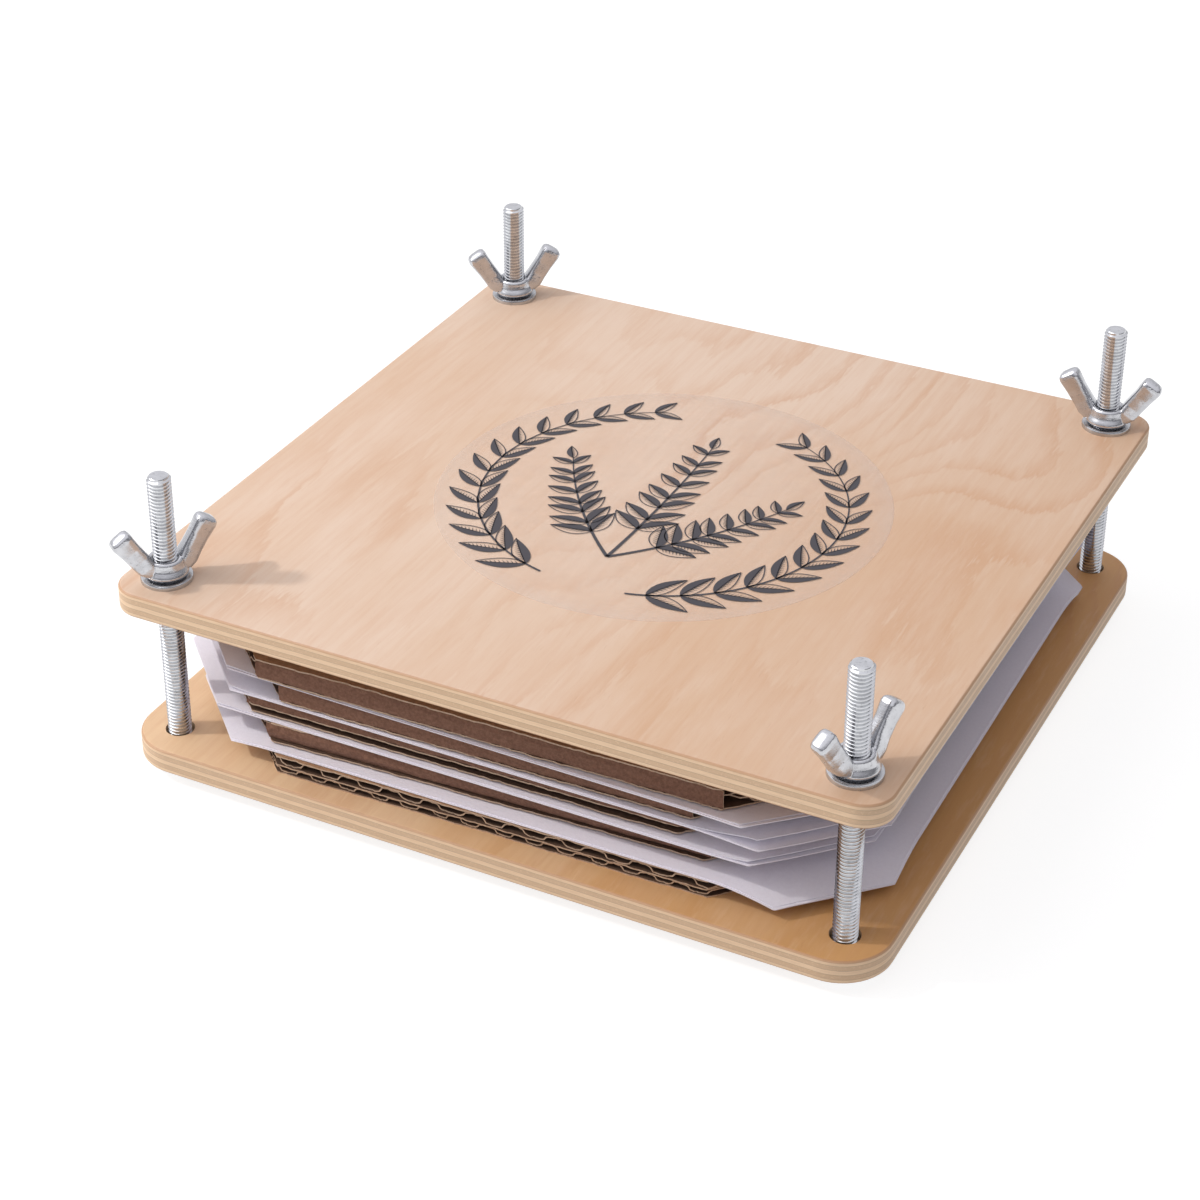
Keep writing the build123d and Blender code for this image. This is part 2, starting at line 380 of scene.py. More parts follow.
def plywood(name, node, pale, warm, painted_shade_per_metre, painted_shade_zero_at, shift):
    """Birch plywood for one board: veneer with painted shade that darkens and warms it towards the right,
    away from the lamps, and five plies on the edges.
    """
    low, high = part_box(node)
    material, s, shader = new_material(name)
    place = s.place()
    to_right = s.add("ShaderNodeSeparateXYZ", {0: place}).outputs[0]
    face_values = {
        "Vector": s.stretched(place, (1.0, 1.0, 1.0), shift),
        "Pale": pale,
        "Warm": warm,
        "Line": VENEER_LINE,
        # Painted shade: the veneer grows darker and warmer with distance to the right of this place, and
        # paler to its left
        "Painted shade drift": s.math("MULTIPLY", s.math("SUBTRACT", to_right, painted_shade_zero_at), painted_shade_per_metre),
    }
    face = s.add("ShaderNodeGroup", face_values, node_tree=BIRCH_FACE).outputs
    edge_values = {
        "Vector": place,
        "Underside": low.z,
        "Thickness": high.z - low.z,
        "Light": LIGHT_PLY,
        "Brown": BROWN_PLY,
    }
    edge = s.add("ShaderNodeGroup", edge_values, node_tree=PLY_EDGE).outputs
    normal = s.add("ShaderNodeNewGeometry").outputs["Normal"]
    levelness = s.math("ABSOLUTE", s.add("ShaderNodeSeparateXYZ", {0: normal}).outputs[2])
    on_edge = s.span(levelness, 0.55, 0.9, 1.0, 0.0)
    veneered = s.mix(on_edge, face["Colour"], edge["Colour"])
    on_arris = s.math("MULTIPLY", s.span(levelness, 0.15, 0.4), s.span(levelness, 0.9, 0.99, 0.75, 0.0))
    s.put(shader["Base Color"], s.mix(on_arris, veneered, ARRIS))
    relief = s.blend(on_edge, face["Height"], edge["Height"])
    s.put(shader["Roughness"], s.span(face["Height"], 0.0, 1.0, 0.42, 0.6))
    s.put(shader["Normal"], s.bump(relief, 0.25, 0.00012))
    return material


def zinc(name, bright, dull, smooth, rough, relief):
    """Plated steel for the bolts, washers and nuts."""
    material, s, shader = new_material(name)
    values = {"Vector": s.place(), "Bright": bright, "Dull": dull, "Smooth": smooth, "Rough": rough}
    plating = s.add("ShaderNodeGroup", values, node_tree=PLATING).outputs
    shader["Metallic"].default_value = 1.0
    s.put(shader["Base Color"], plating["Colour"])
    s.put(shader["Roughness"], plating["Roughness"])
    s.put(shader["Normal"], s.bump(plating["Height"], 0.3, relief))
    return material


def fibre_sheet(name, light, dark, hair, scale, roughness, hair_share):
    """Kraft card or blotting paper."""
    material, s, shader = new_material(name)
    fibres = s.add("ShaderNodeGroup", {"Vector": s.place(), "Scale": scale}, node_tree=FIBRES).outputs
    base = s.mix(s.span(fibres["Mottle"], 0.35, 0.68), light, dark)
    hairy = s.mix(s.math("MULTIPLY", fibres["Hairs"], hair_share), base, hair)
    s.put(shader["Base Color"], hairy)
    s.put(shader["Roughness"], s.span(fibres["Mottle"], 0.2, 0.8, roughness - 0.06, roughness + 0.06))
    s.put(shader["Normal"], s.bump(fibres["Height"], 0.35, 0.00012))
    return material


# The film's cloudy rim: its width, and how much less clear it is at the edge
FILM_RIM = 5.0
FILM_RIM_CLOUD = 0.13


def clear_film():
    """Clear satin film: mostly see-through, with a faint cloudiness that grows at its rim."""
    material, s, shader = new_material("clear film")
    clouds = s.noise(s.place(), 130.0, detail=4.0)
    s.put(shader["Base Color"], s.mix(clouds, (0.90, 0.76, 0.64, 1.0), (0.95, 0.84, 0.74, 1.0)))
    s.put(shader["Roughness"], s.span(clouds, 0.3, 0.7, 0.26, 0.36))
    low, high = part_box("label_film")
    from_middle = s.add("ShaderNodeVectorMath", {0: s.place(), 1: (low + high) / 2}, operation="DISTANCE")
    radius = (high.x - low.x) / 2
    rim = s.span(from_middle.outputs["Value"], radius - FILM_RIM * MM, radius, 0.0, FILM_RIM_CLOUD)
    s.put(shader["Alpha"], s.math("ADD", s.span(clouds, 0.3, 0.7, 0.08, 0.13), rim))
    shader["Coat Weight"].default_value = 0.2
    return material


def printing_ink():
    """Dark grey ink with a little of the print's grain."""
    material, s, shader = new_material("printing ink")
    grain = s.noise(s.place(), 5200.0, detail=2.0)
    s.put(shader["Base Color"], s.mix(grain, (0.022, 0.019, 0.026, 1.0), (0.055, 0.047, 0.058, 1.0)))
    s.put(shader["Roughness"], s.span(grain, 0.3, 0.7, 0.35, 0.5))
    return material


# Each board's pale and warm veneer colours, the painted shade's strength per metre to the right and where it
# is zero, and the grain's shift
UPPER_PLYWOOD = plywood(
    "upper board birch",
    "upper_board",
    (0.785, 0.595, 0.46, 1.0),
    (0.71, 0.475, 0.315, 1.0),
    1.6,
    0.0,
    (0.31, 0.12, 0.0),
)
LOWER_PLYWOOD = plywood(
    "lower board birch",
    "lower_board",
    (0.82, 0.57, 0.35, 1.0),
    (0.68, 0.37, 0.145, 1.0),
    2.4,
    -0.02,
    (0.77, 0.53, 0.0),
)
BRIGHT_ZINC = zinc("bright zinc", (0.66, 0.67, 0.69, 1.0), (0.47, 0.475, 0.49, 1.0), 0.12, 0.24, 0.00002)
NUT_ZINC = zinc("cast zinc", (0.62, 0.625, 0.65, 1.0), (0.45, 0.455, 0.475, 1.0), 0.17, 0.36, 0.00016)
WASHER_ZINC = zinc("washer zinc", (0.56, 0.565, 0.58, 1.0), (0.42, 0.425, 0.44, 1.0), 0.2, 0.34, 0.00003)
KRAFT_LINER = fibre_sheet(
    "kraft liner",
    (0.42, 0.235, 0.125, 1.0),
    (0.31, 0.168, 0.088, 1.0),
    (0.20, 0.11, 0.06, 1.0),
    900.0,
    0.85,
    0.3,
)
KRAFT_WALL = fibre_sheet(
    "torn flute wall",
    (0.25, 0.123, 0.077, 1.0),
    (0.158, 0.073, 0.044, 1.0),
    (0.1, 0.046, 0.028, 1.0),
    1500.0,
    0.9,
    0.4,
)
KRAFT_CUT = fibre_sheet(
    "cut flute ends",
    (0.64, 0.47, 0.34, 1.0),
    (0.48, 0.335, 0.23, 1.0),
    (0.27, 0.17, 0.11, 1.0),
    1800.0,
    0.9,
    0.3,
)
# Painted shade: the same kraft as the liners, made dark to stand in for the shade inside the flutes
KRAFT_INSIDE_SHADE = fibre_sheet(
    "painted shade inside the flutes",
    (0.12, 0.064, 0.038, 1.0),
    (0.08, 0.042, 0.025, 1.0),
    (0.05, 0.026, 0.015, 1.0),
    900.0,
    0.9,
    0.3,
)
WHITE_PAPER = fibre_sheet(
    "blotting paper",
    (0.90, 0.87, 0.94, 1.0),
    (0.865, 0.83, 0.905, 1.0),
    (0.74, 0.70, 0.79, 1.0),
    1400.0,
    0.8,
    0.12,
)
CLEAR_FILM = clear_film()
INK = printing_ink()


# Boards: the CAD shapes with their finishes

def dress_boards():
    """Gives the boards their finishes."""
    for node, material in (("upper_board", UPPER_PLYWOOD), ("lower_board", LOWER_PLYWOOD)):
        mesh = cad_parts[node].data
        mesh.materials.clear()
        mesh.materials.append(material)


# Film

FILM_EDGE = 0.5
FILM_CLEARANCE = 0.02
FILM_RINGS = 6
FILM_SEGMENTS = 128


def add_film():
    """A clear round film on the upper board, thinned at its edge."""
    low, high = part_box("label_film")
    radius = (high.x - low.x) / 2 / MM
    top = (high.z - low.z) / MM
    flat = radius - FILM_EDGE
    profile = [(0, FILM_CLEARANCE)]
    profile += [(radius * i / FILM_RINGS, FILM_CLEARANCE) for i in range(1, FILM_RINGS + 1)]
    profile += [(radius, 2 * FILM_CLEARANCE), (radius - FILM_EDGE / 2, 0.75 * top)]
    profile += [(flat * i / FILM_RINGS, top) for i in range(FILM_RINGS, 0, -1)]
    profile += [(0, top)]
    bm = bmesh.new()
    lathe(bm, profile, FILM_SEGMENTS)
    centre = Vector(((low.x + high.x) / 2, (low.y + high.y) / 2, low.z)) / MM
    bmesh.ops.translate(bm, vec=centre, verts=bm.verts)
    add_piece("clear_film", finished(bm, "film"), CLEAR_FILM, PRESSING_BOARD, "label_film")


# Bolts

THREAD_PITCH = 0.8
THREAD_OUTER = 2.5
THREAD_INNER = 2.06
THREAD_STEPS = 28
# The thread's line over one pitch: the share of the pitch and the radius
THREAD_LINE = ((0.08, THREAD_INNER), (0.42, THREAD_OUTER), (0.58, THREAD_OUTER), (0.92, THREAD_INNER))
TIP_RADIUS = 1.95
HEAD_RADIUS = 6.5
HEAD_HEIGHT = 2.9
HEAD_RIM = 0.6
CROWN_RADIUS = 2.0
NECK_HALF = 2.5
NECK_HEIGHT = 3.6
NECK_ROUNDING = 0.25
RIM_CHAMFER = 0.12
HEAD_SEGMENTS = 40
DOME_STEPS = 8
# How far inside the neck the thread starts
THREAD_OVERLAP = 0.3


def add_thread(bm, low, high):
    """A right-hand thread from low to high, closed at both ends, with a chamfered tip."""
    turns = math.ceil((high - low) / THREAD_PITCH) + 2
    columns = []
    for step in range(turns * THREAD_STEPS + 1):
        turn = 2 * math.pi * step / THREAD_STEPS
        column = []
        for share, radius in THREAD_LINE:
            height = low + THREAD_PITCH * (step / THREAD_STEPS + share - 1)
            height = min(max(height, low), high)
            radius = min(radius, TIP_RADIUS + high - height)
            if height == low:
                radius = THREAD_INNER
            column.append(bm.verts.new((radius * math.cos(turn), radius * math.sin(turn), height)))
        columns.append(column)
    for step in range((turns - 1) * THREAD_STEPS):
        here, beside = columns[step], columns[step + 1]
        above, above_beside = columns[step + THREAD_STEPS], columns[step + THREAD_STEPS + 1]
        for low_a, low_b, high_b, high_a in zip(
            here, beside, beside[1:] + above_beside[:1], here[1:] + above[:1]
        ):
            bm.faces.new((low_a, low_b, high_b, high_a))
    for height, radius in ((low, THREAD_INNER), (high, TIP_RADIUS)):
        lathe(bm, ((0, height), (radius, height)), THREAD_STEPS)
    bmesh.ops.remove_doubles(bm, verts=bm.verts, dist=0.002)
    bmesh.ops.dissolve_degenerate(bm, edges=bm.edges, dist=0.002)


def dome_line():
    """The head's line from the crown's flat to its rim."""
    rise = HEAD_HEIGHT - HEAD_RIM
    run = HEAD_RADIUS - CROWN_RADIUS
    radius = (run * run + rise * rise) / (2 * rise)
    whole = math.asin(run / radius)
    turns = [whole * i / DOME_STEPS for i in range(DOME_STEPS + 1)]
    return [(CROWN_RADIUS + radius * math.sin(turn), radius - radius * math.cos(turn)) for turn in turns]


def bolt_mesh(length):
    """A coach bolt that stands on its head, with its thread up to the tip."""
    bm = bmesh.new()
    add_thread(bm, HEAD_HEIGHT + NECK_HEIGHT - THREAD_OVERLAP, length)
    rim = [(HEAD_RADIUS, HEAD_HEIGHT - RIM_CHAMFER), (HEAD_RADIUS - RIM_CHAMFER, HEAD_HEIGHT)]
    lathe(bm, [(0, 0)] + dome_line() + rim + [(0, HEAD_HEIGHT)], HEAD_SEGMENTS)
    neck = bmesh.ops.create_cube(bm, size=1.0)["verts"]
    bmesh.ops.scale(bm, vec=(2 * NECK_HALF, 2 * NECK_HALF, NECK_HEIGHT), verts=neck)
    bmesh.ops.translate(bm, vec=(0, 0, HEAD_HEIGHT + NECK_HEIGHT / 2), verts=neck)
    uprights = [e for e in bm.edges if e.verts[0] in neck and e.verts[1] in neck]
    bmesh.ops.bevel(bm, geom=uprights, offset=NECK_ROUNDING, segments=2, affect="EDGES")
    return finished(bm, "bolt")


# Washers

WASHER_BORE = 2.75
WASHER_SEGMENTS = 64
# How far the washer's upper edges are rounded over, and where the rounding's middle lies
ROUND_OVER = 0.28
ROUND_MIDDLE = 0.3 * ROUND_OVER


def washer_mesh(outer, thickness):
    """A stamped washer: its upper edges are rounded over, its lower ones are sharp."""
    inner = WASHER_BORE
    profile = [
        (inner, 0.0),
        (outer, 0.0),
        (outer, thickness - ROUND_OVER),
        (outer - ROUND_MIDDLE, thickness - ROUND_MIDDLE),
        (outer - ROUND_OVER, thickness),
        (inner + ROUND_OVER, thickness),
        (inner + ROUND_MIDDLE, thickness - ROUND_MIDDLE),
        (inner, thickness - ROUND_OVER),
        (inner, 0.0),
    ]
    bm = bmesh.new()
    lathe(bm, profile, WASHER_SEGMENTS)
    bmesh.ops.remove_doubles(bm, verts=bm.verts, dist=0.001)
    return finished(bm, "washer", 30)


# Wing nuts

NUT_BORE = 2.55
BOSS_LINE = (
    (NUT_BORE, 0.0),
    (3.3, 0.0),
    (3.5, 0.4),
    (4.35, 0.5),
    (4.62, 0.8),
    (4.65, 1.15),
    (4.45, 1.6),
    (4.05, 2.3),
    (3.85, 3.1),
    (3.75, 3.75),
    (3.45, 4.2),
    (2.95, 4.2),
    (NUT_BORE, 3.8),
    (NUT_BORE, 0.0),
)
# Along the wing's middle line: reach, height, half width and half thickness
WING_SECTIONS = (
    (3.6, 1.9, 1.5, 2.4),
    (4.5, 3.2, 2.15, 2.25),
    (5.7, 5.0, 2.15, 1.85),
    (7.4, 7.55, 2.2, 1.7),
    (9.0, 10.0, 2.4, 1.9),
    (9.45, 10.67, 2.25, 1.7),
    (9.68, 11.02, 1.8, 1.3),
    (9.8, 11.2, 1.1, 0.75),
    (9.84, 11.26, 0.4, 0.25),
)
WING_POINTS = 24
WING_SQUARENESS = 0.55
BOSS_SEGMENTS = 64
# The cast skin: the size of its voxels, its smoothing and the share of its faces that is kept
NUT_VOXEL = 0.13
NUT_EASE = 0.5
NUT_EASE_ROUNDS = 5
NUT_FACES_KEPT = 0.4


def wing_ring(bm, section, line, side):
    """One rounded section across the wing."""
    reach, height, half_width, half_thickness = section
    across = Vector((line.z, 0, -line.x))
    ring = []
    for i in range(WING_POINTS):
        turn = 2 * math.pi * i / WING_POINTS
        wide = math.copysign(abs(math.cos(turn)) ** WING_SQUARENESS, math.cos(turn)) * half_width
        thick = math.copysign(abs(math.sin(turn)) ** WING_SQUARENESS, math.sin(turn)) * half_thickness
        point = Vector((reach, 0, height)) + across * wide + Vector((0, thick, 0))
        ring.append(bm.verts.new((point.x * side, point.y * side, point.z)))
    return ring


def wing_nut_mesh():
    """A cast wing nut: boss and wings run into each other, so they are remeshed into one skin."""
    bm = bmesh.new()
    lathe(bm, BOSS_LINE, BOSS_SEGMENTS)
    bmesh.ops.remove_doubles(bm, verts=bm.verts, dist=0.001)
    first, last = WING_SECTIONS[0], WING_SECTIONS[-1]
    line = Vector((last[0] - first[0], 0, last[1] - first[1])).normalized()
    for side in (1, -1):
        rings = [wing_ring(bm, section, line, side) for section in WING_SECTIONS]
        for low, high in zip(rings, rings[1:]):
            join_rings(bm, low, high)
        bm.faces.new(rings[0])
        bm.faces.new(rings[-1])
    bmesh.ops.recalc_face_normals(bm, faces=bm.faces)
    rough = bpy.data.meshes.new("rough nut")
    bm.to_mesh(rough)
    bm.free()
    holder = bpy.data.objects.new("rough nut", rough)
    bpy.context.scene.collection.objects.link(holder)
    skin = holder.modifiers.new("skin", "REMESH")
    skin.mode = "VOXEL"
    skin.voxel_size = NUT_VOXEL
    ease = holder.modifiers.new("ease", "SMOOTH")
    ease.factor = NUT_EASE
    ease.iterations = NUT_EASE_ROUNDS
    thin = holder.modifiers.new("thin", "DECIMATE")
    thin.ratio = NUT_FACES_KEPT
    mesh = bpy.data.meshes.new_from_object(holder.evaluated_get(bpy.context.evaluated_depsgraph_get()))
    bpy.data.objects.remove(holder)
    bpy.data.meshes.remove(rough)
    mesh.transform(Matrix.Scale(MM, 4))
    mesh.polygons.foreach_set("use_smooth", [True] * len(mesh.polygons))
    return mesh


def add_hardware():
    """A bolt, a washer and a wing nut at each corner."""
    bolt_low, bolt_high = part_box("bolt_front_left")
    bolt = bolt_mesh((bolt_high.z - bolt_low.z) / MM)
    washer_low, washer_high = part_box("washer_front_left")
    washer = washer_mesh((washer_high.x - washer_low.x) / 2 / MM, (washer_high.z - washer_low.z) / MM)
    nut = wing_nut_mesh()
    for corner in CORNERS:
        low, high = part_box(f"bolt_{corner}")
        axis = Vector(((low.x + high.x) / 2, (low.y + high.y) / 2, 0))
        heading = Matrix.Rotation(math.radians(WING_HEADINGS[corner]), 4, "Z")
        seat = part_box(f"washer_{corner}")
        for name, mesh, material, height, turn, body, slot in (
            ("bolt", bolt, BRIGHT_ZINC, low.z, Matrix(), BASE, "zinc_steel"),
            ("washer", washer, WASHER_ZINC, seat[0].z, Matrix(), PRESSING_BOARD, "washer_steel"),
            ("wing_nut", nut, NUT_ZINC, seat[1].z, heading, f"wing_nut_{corner}", "zinc_steel"),
        ):
            placed = mesh.copy()
            placed.transform(Matrix.Translation(axis + Vector((0, 0, height))) @ turn)
            add_piece(f"plated_{name}_{corner}", placed, material, body, f"{name}_{corner}")


# Cards

LINER = 0.32
MEDIUM = 0.3
SHORT_PITCH = 7.0
TALL_PITCH = 9.2
POINTS_PER_FLUTE = 16
FLUTE_SQUARENESS = 0.28
EDGE_STEP = 0.9
WALL_STEP = 1.1
RIM_WIDTH = 5.0
# Share of the flutes' height that the upper flute takes, from the bottom card up
TALL_SHARES = (0.6, 0.6, 0.68, 0.5, 0.5, 0.5)
# How far the front and back of the upper liner are pressed down, from the bottom card up
LINER_DROOPS = (0.25, 0.0, 0.0, 0.0, 0.0, 0.0)
# How far the rim of each liner is set back, and of the middle one from the bottom card up
RIM_INSET = 0.35
MIDDLE_INSETS = (0.35, 1.5, 0.35, 1.5, 1.5, 0.35)
# The card's front and back walls, where its flutes run sideways: how far back from the edge, and how high
# as a share of the wall's height
TORN_WALL = ((0.45, 0.0), (0.25, 0.3), (0.25, 0.7), (0.5, 1.0))
LEANING_WALL = ((1.3, 0.0), (0.8, 0.16), (0.4, 0.4), (0.25, 0.7), (0.5, 1.0))
SET_BACK = ((2.2, 0.0), (1.9, 0.4), (2.0, 0.8), (2.3, 1.0))
# How far in from the card's front and back the flutes start, where they run sideways
FLUTES_START = 3.0
# How far flutes and walls stay inside the card's outline, and how torn they are
FLUTE_INSET = 0.5
FLUTE_TEAR = 1.6
WALL_INSET = 0.3
WALL_BACK = 0.15
WALL_TEAR = 0.8
# The walls of each of these cards: between which of its three liners they stand, and their line
BOTTOM, MIDDLE, TOP = 0, 1, 2
CARD_WALLS = {
    2: ((BOTTOM, TOP, LEANING_WALL),),
    3: ((BOTTOM, MIDDLE, SET_BACK), (MIDDLE, TOP, TORN_WALL)),
    4: ((BOTTOM, TOP, TORN_WALL),),
    5: ((BOTTOM, TOP, TORN_WALL),),
    6: ((BOTTOM, MIDDLE, TORN_WALL), (MIDDLE, TOP, SET_BACK)),
}
# How much is cut off each card's left and right corners, from the bottom card up
CARD_CORNERS = ((29.0, 29.0), (25.0, 33.0), (25.0, 33.0), (29.0, 34.0), (26.0, 26.0), (26.0, 26.0))
# Places of the card's four finishes in its mesh. The inside tone is painted shade: the same kraft made dark
# where the flutes' hollows lie in shade
LINER_TONE, WALL_TONE, CUT_TONE, INSIDE_SHADE_TONE = 0, 1, 2, 3


def octagon_reach(offset, half, clip):
    """How far a square with cut corners reaches from its middle, at an offset along the other axis."""
    return min(half, 2 * half - clip - abs(offset))


def octagon_line(half, left_clip, right_clip, step):
    """Points round a square with cut corners, about a step apart."""
    left = half - left_clip
    right = half - right_clip
    ends = [(right, -half), (half, -right), (half, right), (right, half)]
    ends += [(-left, half), (-half, left), (-half, -left), (-left, -half)]
    points = []
    for (x0, y0), (x1, y1) in zip(ends, ends[1:] + ends[:1]):
        count = max(1, round(math.hypot(x1 - x0, y1 - y0) / step))
        points += [(x0 + (x1 - x0) * i / count, y0 + (y1 - y0) * i / count) for i in range(count)]
    return points


def ragged(x, y, seed, fine=1.0):
    """A torn edge's offset at a point: slow waves, short tears and fibres."""
    place = Vector((x, y, seed * 13.7))
    slow = noise.noise(place * 0.06)
    tears = noise.noise(place * 0.45 + Vector((9, 0, 0)))
    fibres = noise.noise(place * 1.7)
    return fine * (0.25 * slow + 0.22 * tears + 0.2 * fibres)


class Shell:
    """Holds the outline of one card, and collects its points, faces and finishes."""

    def __init__(self, clips, trim):
        self.left_clip, self.right_clip = clips
        self.trim = trim
        self.points = []
        self.faces = []
        self.tones = []

    def reach(self, offset, end):
        """How far the card reaches to the left, -1, or right, 1, at an offset along Y."""
        if end < 0:
            return octagon_reach(offset, CARD_HALF, self.left_clip)
        return min(octagon_reach(offset, CARD_HALF, self.right_clip), CARD_HALF - self.trim)

    def add_points(self, points):
        start = len(self.points)
        self.points += points
        return list(range(start, len(self.points)))

    def add_face(self, corners, tone):
        self.faces.append(tuple(corners))
        self.tones.append(tone)

    def band(self, first, second, tone, closed=True):
        count = len(first)
        for i in range(count if closed else count - 1):
            j = (i + 1) % count
            self.add_face((first[i], first[j], second[j], second[i]), tone)


def add_liner(shell, low, high, seed, inset, droop, layer):
    """One flat liner with a torn rim, which may be pressed down at the front and back."""
    octagon = octagon_line(CARD_HALF, shell.left_clip, shell.right_clip, EDGE_STEP)
    outline = [(min(x, CARD_HALF - shell.trim), y) for x, y in octagon]
    inner = 1 - RIM_WIDTH / CARD_HALF
    rings = []
    for height in (low, high):
        rim = []
        for x, y in outline:
            pull = 1 - (inset + ragged(x, y, seed)) / CARD_HALF
            press = smooth_step(abs(y), CARD_HALF - CARD_CLIP, CARD_HALF)
            wave = 0.8 + 0.5 * noise.noise(Vector((x * 0.09, y * 0.09, seed * 3.1)))
            rim.append((x * pull, y * pull, height - droop * press * wave))
        middle = [(x * inner, y * inner, height) for x, y in outline]
        rings.append((shell.add_points(rim), shell.add_points(middle)))
    (low_rim, low_inner), (high_rim, high_inner) = rings
    # Faces that look into the flutes get the painted shade of the inside tone
    below = LINER_TONE if layer == BOTTOM else INSIDE_SHADE_TONE
    above = LINER_TONE if layer == TOP else INSIDE_SHADE_TONE
    shell.band(low_inner, low_rim, below)
    shell.band(low_rim, high_rim, CUT_TONE)
    shell.band(high_rim, high_inner, above)
    shell.add_face(reversed(low_inner), below)
    shell.add_face(high_inner, above)


def add_strip_of_paper(shell, rows, tone):
    """A thin closed strip through rows of four points: both faces at one end, then at the other."""
    sides = [shell.add_points([row[k] for row in rows]) for k in range(4)]
    first_low, first_high, last_low, last_high = sides
    shell.band(first_low, last_low, tone, closed=False)
    shell.band(last_high, first_high, tone, closed=False)
    shell.band(first_high, first_low, CUT_TONE, closed=False)
    shell.band(last_low, last_high, CUT_TONE, closed=False)
    for i in (0, -1):
        shell.add_face((first_low[i], first_high[i], last_high[i], last_low[i]), CUT_TONE)


def across_line(line, i):
    """The direction across a line of points at one of them."""
    before, after = line[max(i - 1, 0)], line[min(i + 1, len(line) - 1)]
    slope = Vector((after[0] - before[0], after[1] - before[1])).normalized()
    return Vector((-slope.y, slope.x)) * (MEDIUM / 2)


def add_flutes(shell, pitch, low, high, start, along_x, droop, seed):
    """The fluted paper inside the card, which starts and ends some way in from two of its edges."""
    middle = (low + high) / 2
    swing = (high - low - MEDIUM) / 2
    count = round(2 * (CARD_HALF - start) / pitch * POINTS_PER_FLUTE)
    line = []
    for i in range(count + 1):
        offset = (CARD_HALF - start) * (2 * i / count - 1)
        drift = 0.9 * noise.noise(Vector((offset * 0.11, seed * 5.3, 0)))
        crush = 1 - 0.18 * abs(noise.noise(Vector((offset * 0.17, seed * 2.9, 7))))
        wave = math.cos(2 * math.pi * (offset + CARD_HALF - start) / pitch + drift)
        square = math.copysign(abs(wave) ** FLUTE_SQUARENESS, wave)
        line.append((offset, middle + swing * crush * square - droop * (0.5 + 0.5 * square)))
    rows = []
    for i, (offset, height) in enumerate(line):
        out = across_line(line, i)
        row = []
        for end in (-1, 1):
            reach = shell.reach(offset, end) if along_x else octagon_reach(offset, CARD_HALF, CARD_CLIP)
            reach -= FLUTE_INSET + abs(ragged(offset, 90 * end, seed, FLUTE_TEAR))
            for face in (-1, 1):
                across = offset + face * out.x
                up = height + face * out.y
                row.append((end * reach, across, up) if along_x else (across, end * reach, up))
        rows.append(row)
    # Both faces of the fluted paper get the painted shade of the inside tone, and its cut edges get the cut
    # finish
    add_strip_of_paper(shell, rows, INSIDE_SHADE_TONE)


def add_end_wall(shell, ends, low, high, side, seed):
    """The first wall of a flute that runs along the front or back edge, torn and uneven."""
    line = [(CARD_HALF - back, low + (high - low) * share) for back, share in ends]
    left, right = (shell.reach(line[0][0], end) - WALL_INSET for end in (-1, 1))
    count = round((left + right) / WALL_STEP)
    faces = []
    for face in (-1, 1):
        columns = []
        for i in range(count + 1):
            x = -left + (left + right) * i / count
            column = []
            for k, (offset, height) in enumerate(line):
                out = across_line(line, k)
                rough = ragged(x, 40 * height, seed + k, WALL_TEAR)
                y = offset + face * out.x - WALL_BACK + rough
                column.append((x, side * y, height + face * out.y))
            columns.append(shell.add_points(column))
        for column, beside in zip(columns, columns[1:]):
            shell.band(column, beside, WALL_TONE, closed=False)
        faces.append(columns)
    for inner, outer in ((faces[0][0], faces[1][0]), (faces[0][-1], faces[1][-1])):
        shell.band(inner, outer, CUT_TONE, closed=False)
    for k in (0, -1):
        shell.band([c[k] for c in faces[0]], [c[k] for c in faces[1]], CUT_TONE, closed=False)


def add_card(number):
    """One double-wall card: three liners, two fluted papers and the torn walls at its edges."""
    node = f"corrugated_card_{number}"
    low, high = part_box(node)
    thickness = (high.z - low.z) / MM
    droop = LINER_DROOPS[number - 1]
    middle = LINER + (thickness - 3 * LINER) * (1 - TALL_SHARES[number - 1])
    shell = Shell(CARD_CORNERS[number - 1], CARD_RIGHT_TRIMS[number - 1])
    levels = (0, middle, thickness - LINER)
    insets = (RIM_INSET, MIDDLE_INSETS[number - 1], RIM_INSET)
    for layer, level in enumerate(levels):
        press = droop if layer == TOP else 0.0
        seed = number * 10 + layer
        add_liner(shell, level, level + LINER, seed, insets[layer], press, layer)
    along_x = number in CARD_WALLS
    start = FLUTES_START if along_x else RIM_INSET
    for row, pitch in enumerate((SHORT_PITCH, TALL_PITCH)):
        press = droop if row == MIDDLE else 0.0
        seed = number * 10 + row
        add_flutes(shell, pitch, levels[row] + LINER, levels[row + 1], start, along_x, press, seed)
    for under, over, line in CARD_WALLS.get(number, ()):
        for side in (-1, 1):
            seed = number * 10 + under + 5 * side
            add_end_wall(shell, line, levels[under] + LINER, levels[over], side, seed)
    mesh = flat_mesh(f"card {number}", shell.points, shell.faces)
    shift_x, shift_y = CARD_SHIFTS[number - 1]
    place = Matrix.Translation(Vector((shift_x * MM, shift_y * MM, low.z)))
    mesh.transform(place @ Matrix.Rotation(math.radians(CARD_TURNS[number - 1]), 4, "Z"))
    add_piece(f"torn_card_{number}", mesh, KRAFT_LINER, BASE, node)
    mesh.materials.append(KRAFT_WALL)
    mesh.materials.append(KRAFT_CUT)
    mesh.materials.append(KRAFT_INSIDE_SHADE)
    mesh.polygons.foreach_set("material_index", shell.tones)


# Papers

PAPER_CELLS = 52
PAPER_SHEET = 0.18
PAPER_SAG = 0.034
PAPER_SAG_MOST = 3.2
# How much of this each paper hangs down at its left and right corners, or rises where it is below 0
PAPER_SAGS = (
    (0.27, 0.65),
    (0.27, 0.65),
    (0.0, 0.0),
    (-0.05, -0.35),
    (0.1, 0.25),
    (-0.4, -0.4),
    (0.0, 0.15),
    (-0.1, 0.08),
)


